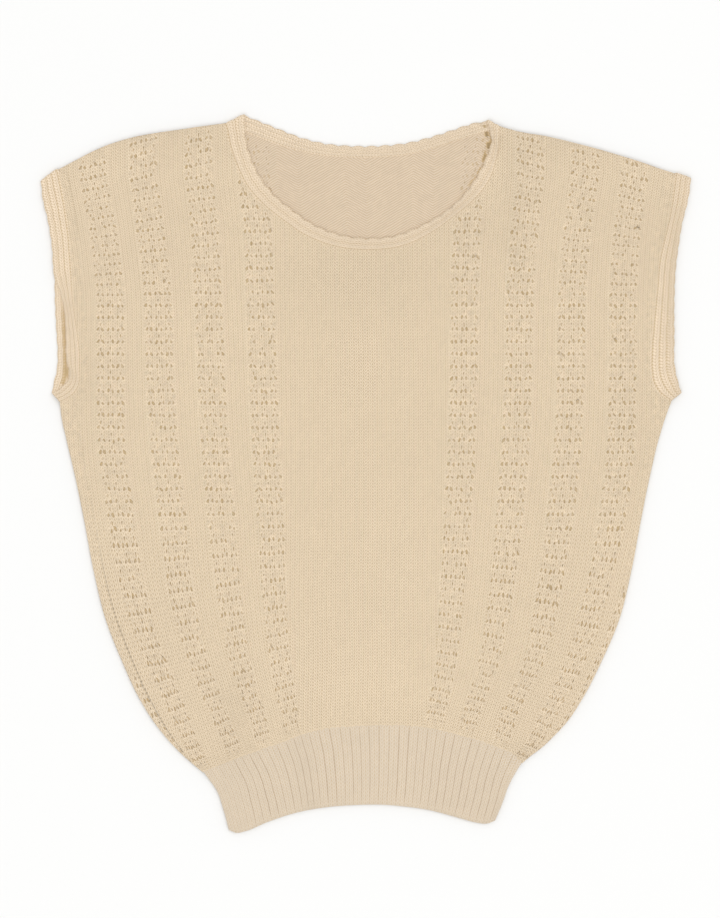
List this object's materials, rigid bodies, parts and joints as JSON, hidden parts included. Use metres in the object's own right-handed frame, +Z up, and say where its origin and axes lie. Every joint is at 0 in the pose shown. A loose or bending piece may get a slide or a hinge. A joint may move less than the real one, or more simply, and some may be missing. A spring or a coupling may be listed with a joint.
{
  "type": "openwork knit top",
  "caption": "Cream sleeveless knit top with capped shoulders, upright eyelet lace bands, scalloped trims and a ribbed welt, laid flat.",
  "frame": {"origin": "middle of the outline's box on the surface that the back lies on", "axes": "+Z up out of the surface, +Y from the hem to the neck, +X towards the viewer's right"},
  "size_m": [0.5204, 0.5726, 0.0089],
  "materials": {
    "cotton_front": "matt cream cotton stockinette with openwork bands",
    "cotton_back": "matt cream cotton, the purl side of the same knit",
    "cotton_welt": "matt cream cotton wide rib",
    "cotton_trim": "matt cream cotton edging with soft ridges and small scallops"
  },
  "bodies": {
    "root": {"front_panel": "cotton_front", "back_panel": "cotton_back", "front_welt": "cotton_welt", "back_welt": "cotton_welt", "neck_trim": "cotton_trim", "armhole_trim_left": "cotton_trim", "armhole_trim_right": "cotton_trim"}
  },
  "joints": []
}
